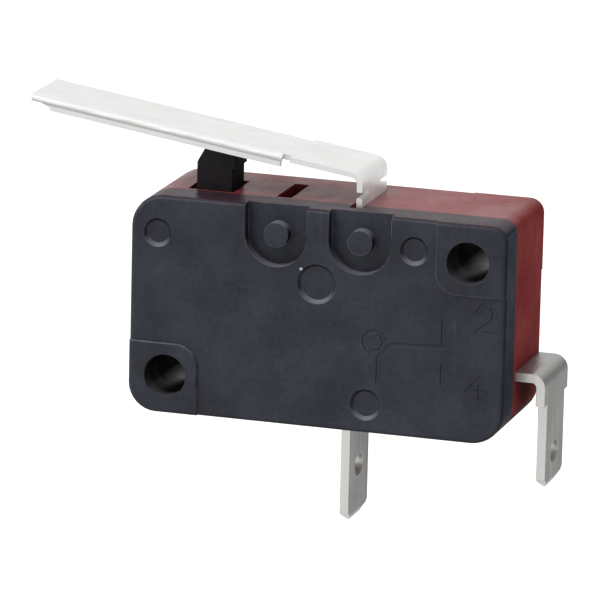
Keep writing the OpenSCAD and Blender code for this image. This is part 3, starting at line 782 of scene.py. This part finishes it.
@dataclass
class Finishes:
    """Every material of the switch, under the name of its slot in the record."""

    groups: SharedGroups
    made: dict[str, bpy.types.Material] = field(default_factory=dict)

    def prepare(self) -> None:
        """Builds the materials."""
        recipes: tuple[MouldedFinish | SheetFinish, ...] = (
            MouldedFinish(
                "base_moulding", deep=srgb(116, 43, 44), pale=srgb(136, 56, 56),
                worn_and_lit=srgb(150, 88, 86), top_sheen=srgb(121, 52, 54), top_sheen_share=0.8, smooth=0.34,
                rough=0.72, specular=0.12, specular_top=0.09, peel=0.2, underside=0.85,
                shade=srgb(34, 18, 17), edge_wear_and_light=0.45,
            ),
            MouldedFinish(
                "cover_moulding", deep=srgb(28, 30, 38), pale=srgb(45, 47, 57),
                worn_and_lit=srgb(100, 100, 108), top_sheen=srgb(60, 35, 41), top_sheen_share=0.6,
                ledge_light=srgb(104, 104, 112), smooth=0.36, rough=0.55, specular=0.22,
                specular_top=0.07, peel=0.25, underside=0.7, shade=srgb(14, 13, 16),
                engraved=0.13, edge_wear_and_light=0.9, rounding=0.09, specks=((9.94, -4.95, 8.74),),
            ),
            MouldedFinish(
                "plunger_moulding", deep=srgb(27, 24, 27), pale=srgb(40, 36, 40),
                worn_and_lit=srgb(60, 58, 62), top_sheen=srgb(46, 43, 45), top_sheen_share=0.3, specular=0.12,
                specular_top=0.2, peel=0.2,
            ),
            SheetFinish(
                "lever_steel", face=srgb(221, 221, 220), dull=srgb(212, 212, 211),
                bare_and_lit_tone=srgb(226, 226, 225), tilt=math.radians(8.4), smooth=0.36, rough=0.55,
                fold=srgb(152, 152, 151), turned=srgb(197, 197, 196), rounding=0.0,
            ),
            SheetFinish(
                "blade_plated", face=srgb(75, 73, 71), dull=srgb(65, 63, 61),
                bare_and_lit_tone=srgb(187, 186, 183), grain=Grain.ALONG_Z, sides_bare_and_lit=True,
            ),
            SheetFinish(
                "contact_silver", face=srgb(225, 225, 222), dull=srgb(205, 204, 200),
                bare_and_lit_tone=srgb(240, 240, 238), smooth=0.2, rough=0.35,
            ),
            SheetFinish(
                "spring_bronze", face=srgb(206, 156, 98), dull=srgb(180, 128, 78),
                bare_and_lit_tone=srgb(228, 190, 140),
            ),
            SheetFinish(
                "spring_wire", face=srgb(196, 197, 200), dull=srgb(170, 171, 175),
                bare_and_lit_tone=srgb(225, 226, 228), smooth=0.2, rough=0.35,
            ),
        )
        for recipe in recipes:
            self.made[recipe.name] = recipe.build(self.groups)
            log.info("finish %s", recipe.name)

    def dress(self, piece: bpy.types.Object, slot: str) -> None:
        """Gives a piece one material.

        Args:
            piece: The mesh object.
            slot: The material slot's name.
        """
        piece.data.materials.clear()
        piece.data.materials.append(self.made[slot])


@dataclass
class Camera:
    """The camera, placed round an aim point on the switch."""

    azimuth: float = 16.973
    elevation: float = 14.048
    roll: float = 1.357
    distance: float = 443.36 * MM
    aim: Point = (8.623 * MM, -0.705 * MM, 5.365 * MM)
    lens: float = 371.9
    sensor: float = 36.0

    def build(self) -> bpy.types.Object:
        """Makes the camera and sets it as the scene's own.

        Returns:
            The camera.
        """
        turn, rise = math.radians(self.azimuth), math.radians(self.elevation)
        forward = Vector(
            (-math.sin(turn) * math.cos(rise), math.cos(turn) * math.cos(rise), -math.sin(rise))
        )
        right = Vector((math.cos(turn), math.sin(turn), 0.0))
        up = right.cross(forward)
        lean = math.radians(self.roll)
        side = right * math.cos(lean) + up * math.sin(lean)
        top = up * math.cos(lean) - right * math.sin(lean)
        data = bpy.data.cameras.new("camera")
        data.lens = self.lens
        data.sensor_width = self.sensor
        data.clip_start = 0.01
        data.clip_end = 20.0
        camera = bpy.data.objects.new("camera", data)
        bpy.context.scene.collection.objects.link(camera)
        placed = Matrix((side, top, -forward)).transposed().to_4x4()
        placed.translation = Vector(self.aim) - forward * self.distance
        camera.matrix_world = placed
        bpy.context.scene.camera = camera
        return camera


@dataclass
class Studio:
    """Plain soft light, a pale floor and a white background."""

    floor_z: float = -45.0 * MM
    floor_size: float = 3.0
    floor_grey: float = 0.9
    floor_lift: float = 0.35
    ambient: float = 0.44
    key_power: float = 7.5
    key_place: Point = (-0.45, -0.42, 0.72)
    key_size: float = 0.7
    top_power: float = 1.5
    top_place: Point = (0.1, 0.35, 0.9)
    top_size: float = 0.6

    def build(self) -> None:
        """Makes the world, the floor and the lamps."""
        self._world()
        self._floor()
        self._lamp("key_lamp", self.key_place, self.key_power, self.key_size)
        self._lamp("top_lamp", self.top_place, self.top_power, self.top_size)

    @staticmethod
    def _seen(graph: Graph) -> Socket:
        """1 for the rays to which the background is white."""
        path = graph.add("ShaderNodeLightPath").outputs
        shown = path[RayKind.CAMERA.value]
        for kind in (RayKind.GLOSSY, RayKind.TRANSMISSION):
            shown = graph.maths("MAXIMUM", shown, path[kind.value])
        return shown

    def _world(self) -> None:
        """White for the rays that see it, softer for what it lights."""
        world = bpy.data.worlds.new("studio")
        world.use_nodes = True
        world.node_tree.nodes.clear()
        graph = Graph(world.node_tree)
        mixer = graph.add("ShaderNodeMixShader")
        graph.wire(self._seen(graph), mixer.inputs[0])
        for index, strength in ((1, self.ambient), (2, 1.0)):
            light = graph.add("ShaderNodeBackground")
            light.inputs["Color"].default_value = (1.0, 1.0, 1.0, 1.0)
            light.inputs["Strength"].default_value = strength
            graph.wire(light.outputs[0], mixer.inputs[index])
        graph.wire(mixer.outputs[0], graph.add("ShaderNodeOutputWorld").inputs["Surface"])
        bpy.context.scene.world = world

    def _floor(self) -> None:
        """A pale floor that keeps the shadow."""
        mesh = bpy.data.meshes.new("floor")
        half = self.floor_size / 2
        corners = [(-half, -half), (half, -half), (half, half), (-half, half)]
        mesh.from_pydata([(x, y, self.floor_z) for x, y in corners], [], [(0, 1, 2, 3)])
        floor = bpy.data.objects.new("floor", mesh)
        bpy.context.scene.collection.objects.link(floor)
        material = bpy.data.materials.new("floor")
        material.use_nodes = True
        material.node_tree.nodes.clear()
        graph = Graph(material.node_tree)
        shader = graph.add("ShaderNodeBsdfPrincipled")
        shader.inputs["Base Color"].default_value = (*[self.floor_grey] * 3, 1.0)
        shader.inputs["Roughness"].default_value = 0.9
        shader.inputs["Specular IOR Level"].default_value = 0.0
        shader.inputs["Emission Color"].default_value = (1.0, 1.0, 1.0, 1.0)
        lift = graph.maths("MULTIPLY", self._seen(graph), self.floor_lift)
        graph.wire(lift, shader.inputs["Emission Strength"])
        graph.wire(shader.outputs[0], graph.add("ShaderNodeOutputMaterial").inputs["Surface"])
        mesh.materials.append(material)

    @staticmethod
    def _lamp(name: str, place: Point, power: float, size: float) -> None:
        """Adds a square soft lamp that looks at the switch.

        Args:
            name: The lamp's name.
            place: Where it stands, in metres.
            power: Its power, in watts.
            size: The length of its sides, in metres.
        """
        data = bpy.data.lights.new(name, "AREA")
        data.energy = power
        data.size = size
        lamp = bpy.data.objects.new(name, data)
        lamp.location = place
        lamp.rotation_euler = (-Vector(place)).to_track_quat("-Z", "Y").to_euler()
        bpy.context.scene.collection.objects.link(lamp)


@dataclass
class Nodes:
    """The CAD nodes of one sub-assembly and the slot of each."""

    shown: dict[str, bpy.types.Object]
    slots: dict[str, str]
    finishes: Finishes

    def dress(self) -> None:
        """Gives every node its finish."""
        for name, slot in self.slots.items():
            self.finishes.dress(self.shown[name], slot)
            log.info("piece %s in %s", name, slot)


def finished(piece: bpy.types.Object, body: str, slot: str, finishes: Finishes) -> bpy.types.Object:
    """Dresses a new piece and sets it on its body.

    Args:
        piece: The mesh object, with its place in its mesh.
        body: The CAD body that it moves with.
        slot: The material slot that it takes its finish from.
        finishes: The materials.

    Returns:
        The same piece.
    """
    if piece.name not in bpy.context.scene.collection.objects:
        bpy.context.scene.collection.objects.link(piece)
    finishes.dress(piece, slot)
    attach(piece, body)
    log.info("piece %s rides on %s", piece.name, body)
    return piece


class WireTool:
    """Geometry Nodes tree that sweeps a round wire along a path of edges."""

    def __init__(self) -> None:
        """Builds the tree."""
        tree = bpy.data.node_groups.new("round_wire", "GeometryNodeTree")
        self.tree = tree
        sockets = (
            ("Path", "NodeSocketGeometry"), ("Radius", "NodeSocketFloat"),
            ("Sides", "NodeSocketInt"), ("Finish", "NodeSocketMaterial"),
        )
        for label, kind in sockets:
            tree.interface.new_socket(label, in_out="INPUT", socket_type=kind)
        tree.interface.new_socket("Wire", in_out="OUTPUT", socket_type="NodeSocketGeometry")
        g = Graph(tree)
        inside = g.add("NodeGroupInput").outputs
        curve = g.add("GeometryNodeMeshToCurve")
        g.wire(inside["Path"], curve.inputs["Mesh"])
        section = g.add("GeometryNodeCurvePrimitiveCircle")
        g.wire(inside["Sides"], section.inputs["Resolution"])
        g.wire(inside["Radius"], section.inputs["Radius"])
        sweep = g.add("GeometryNodeCurveToMesh")
        sweep.inputs["Fill Caps"].default_value = True
        g.wire(curve.outputs[0], sweep.inputs["Curve"])
        g.wire(section.outputs[0], sweep.inputs["Profile Curve"])
        smooth = g.add("GeometryNodeSetShadeSmooth")
        g.wire(sweep.outputs[0], smooth.inputs[0])
        real = g.add("GeometryNodeRealizeInstances")
        g.wire(smooth.outputs[0], real.inputs[0])
        dressed = g.add("GeometryNodeSetMaterial")
        g.wire(real.outputs[0], dressed.inputs["Geometry"])
        g.wire(inside["Finish"], dressed.inputs["Material"])
        g.wire(dressed.outputs[0], g.add("NodeGroupOutput").inputs["Wire"])

    def sweep(
        self, name: str, path: Sequence[Point], radius: float, sides: int, finish: bpy.types.Material
    ) -> bpy.types.Object:
        """Makes one plain mesh of wire along a path.

        Args:
            name: The new piece's name.
            path: Points of the wire's centre line, in metres.
            radius: The wire's radius, in metres.
            sides: How many sides its section has.
            finish: Its material.

        Returns:
            The new mesh object.
        """
        line = bpy.data.meshes.new(name)
        line.from_pydata(path, [(i, i + 1) for i in range(len(path) - 1)], [])
        piece = bpy.data.objects.new(name, line)
        bpy.context.scene.collection.objects.link(piece)
        modifier = piece.modifiers.new("round_wire", "NODES")
        modifier.node_group = self.tree
        values = {"Radius": radius, "Sides": sides, "Finish": finish}
        for item in self.tree.interface.items_tree:
            if item.in_out == "INPUT" and item.name in values:
                modifier[item.identifier] = values[item.name]
        graph = bpy.context.evaluated_depsgraph_get()
        made = bpy.data.meshes.new_from_object(piece.evaluated_get(graph), depsgraph=graph)
        piece.modifiers.clear()
        piece.data = made
        return piece


@dataclass
class SnapSpring:
    """The tension spring: a coil between a hook on the rocker and one in the arm, in mm."""

    hook: Point = (4.5, 1.4, 5.0)
    anchor: Point = (15.5, 1.4, 4.4)
    coil_start: float = 6.5
    coil_end: float = 13.9
    radius: float = 0.825
    wire: float = 0.12
    sides: int = 10
    turns: int = 18
    steps: int = 24

    def _axis(self, x: float) -> float:
        """Height of the coil's axis at a place along it."""
        share = (x - self.hook[0]) / (self.anchor[0] - self.hook[0])
        return self.hook[2] + share * (self.anchor[2] - self.hook[2])

    def path(self) -> list[Point]:
        """The wire's centre line, from the rocker's hook to the arm's, in metres."""
        x, y, z = self.hook
        end_x, _, end_z = self.anchor
        points: list[Point] = [
            (x - 0.35, y, z - 0.48), (x - 0.35, y, z - 0.15), (x - 0.2, y, z), (x + 0.9, y, z),
            (self.coil_start - 0.35, y, self._axis(self.coil_start) + self.radius * 0.8),
        ]
        count = self.turns * self.steps
        for index in range(count + 1):
            share = index / count
            angle = math.tau * self.turns * share
            along = self.coil_start + (self.coil_end - self.coil_start) * share
            aside, up = self.radius * math.sin(angle), self.radius * math.cos(angle)
            points.append((along, y + aside, self._axis(along) + up))
        points += [
            (self.coil_end + 0.35, y, self._axis(self.coil_end) + self.radius * 0.85),
            (end_x - 0.7, y, end_z + 0.4), (end_x - 0.1, y, end_z + 0.4),
            (end_x, y, end_z + 0.28), (end_x, y, end_z - 0.48),
        ]
        return [tuple(value * MM for value in point) for point in points]

    def build(self, tool: WireTool, finishes: Finishes) -> None:
        """Makes the spring in place of the CAD one.

        Args:
            tool: The wire maker.
            finishes: The materials.
        """
        finish = finishes.made["spring_wire"]
        coil = tool.sweep("snap_spring", self.path(), self.wire * MM, self.sides, finish)
        finished(coil, "tension_spring", "spring_wire", finishes)
        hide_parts("tension_spring")


@dataclass
class FoldedLever:
    """The sheet lever with its turned-down edges trimmed to their real height, in mm."""

    source: bpy.types.Object
    flange_end: float = 8.5
    flange_height: float = 0.86
    straight_from: float = 0.69
    inner_side: float = 2.8
    same_place: float = 0.0001
    nearly_up: float = 0.9
    crease_angle: float = 32.0

    def _trim(self, shape: bmesh.types.BMesh) -> None:
        """Cuts the lower rims off the turned-down edges and squares what stays of them.

        Args:
            shape: The lever, in metres, with its doubles merged.
        """
        upper = [face for face in shape.faces if face.normal.z > self.nearly_up]
        blade = max(upper, key=lambda face: face.calc_area())
        normal = blade.normal.copy()
        top = normal.dot(blade.verts[0].co)
        level = top - self.flange_height * MM
        reach = self.flange_end * MM
        faces = [
            face for face in shape.faces
            if max(vert.co.x for vert in face.verts) < reach
            and min(normal.dot(vert.co) for vert in face.verts) < level
        ]
        parts: list[bmesh.types.BMVert | bmesh.types.BMEdge | bmesh.types.BMFace] = list(faces)
        parts += list({edge for face in faces for edge in face.edges})
        parts += list({vert for face in faces for vert in face.verts})
        cut = bmesh.ops.bisect_plane(
            shape, geom=parts, dist=1e-8, plane_co=normal * level, plane_no=normal, clear_inner=True
        )
        rims = [part for part in cut["geom_cut"] if isinstance(part, bmesh.types.BMEdge)]
        bmesh.ops.holes_fill(shape, edges=rims, sides=0)
        half = max(abs(vert.co.y) for vert in shape.verts)
        for vert in shape.verts:
            under = top - normal.dot(vert.co) > self.straight_from * MM
            if under and vert.co.x < reach and abs(vert.co.y) > self.inner_side * MM:
                vert.co.y = math.copysign(half, vert.co.y)
        bmesh.ops.dissolve_degenerate(shape, edges=shape.edges, dist=self.same_place * MM)
        bmesh.ops.recalc_face_normals(shape, faces=shape.faces)

    def build(self, finishes: Finishes) -> None:
        """Makes the lever in place of the CAD one.

        Args:
            finishes: The materials.
        """
        shape = bmesh.new()
        shape.from_mesh(self.source.data)
        bmesh.ops.remove_doubles(shape, verts=shape.verts, dist=self.same_place * MM)
        self._trim(shape)
        mesh = bpy.data.meshes.new("folded_lever")
        shape.to_mesh(mesh)
        shape.free()
        for name in ("custom_normal", "sharp_face", "sharp_edge"):
            if name in mesh.attributes:
                mesh.attributes.remove(mesh.attributes[name])
        mesh.materials.clear()
        mesh.shade_smooth()
        mesh.set_sharp_from_angle(angle=math.radians(self.crease_angle))
        piece = bpy.data.objects.new("folded_lever", mesh)
        finished(piece, "lever", "lever_steel", finishes)
        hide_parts("lever")


def main() -> None:
    """Builds the studio and dresses every piece of the switch."""
    logging.basicConfig(level=logging.INFO, format="%(name)s: %(message)s")
    scene = bpy.context.scene
    scene.view_settings.view_transform = "Standard"
    Camera().build()
    Studio().build()
    bores = [row["pos_m"] for row in frame["record"]["mounts"] if row["kind"] == "bore"]
    finishes = Finishes(SharedGroups([(x, z) for x, _, z in bores]))
    finishes.prepare()
    slots = {row["node"]: row["material_slot"] for row in frame["record"]["subparts"]}
    Nodes(frame["nodes"], slots, finishes).dress()
    SnapSpring().build(WireTool(), finishes)
    FoldedLever(frame["nodes"]["lever"]).build(finishes)


if __name__ == "__main__":
    main()
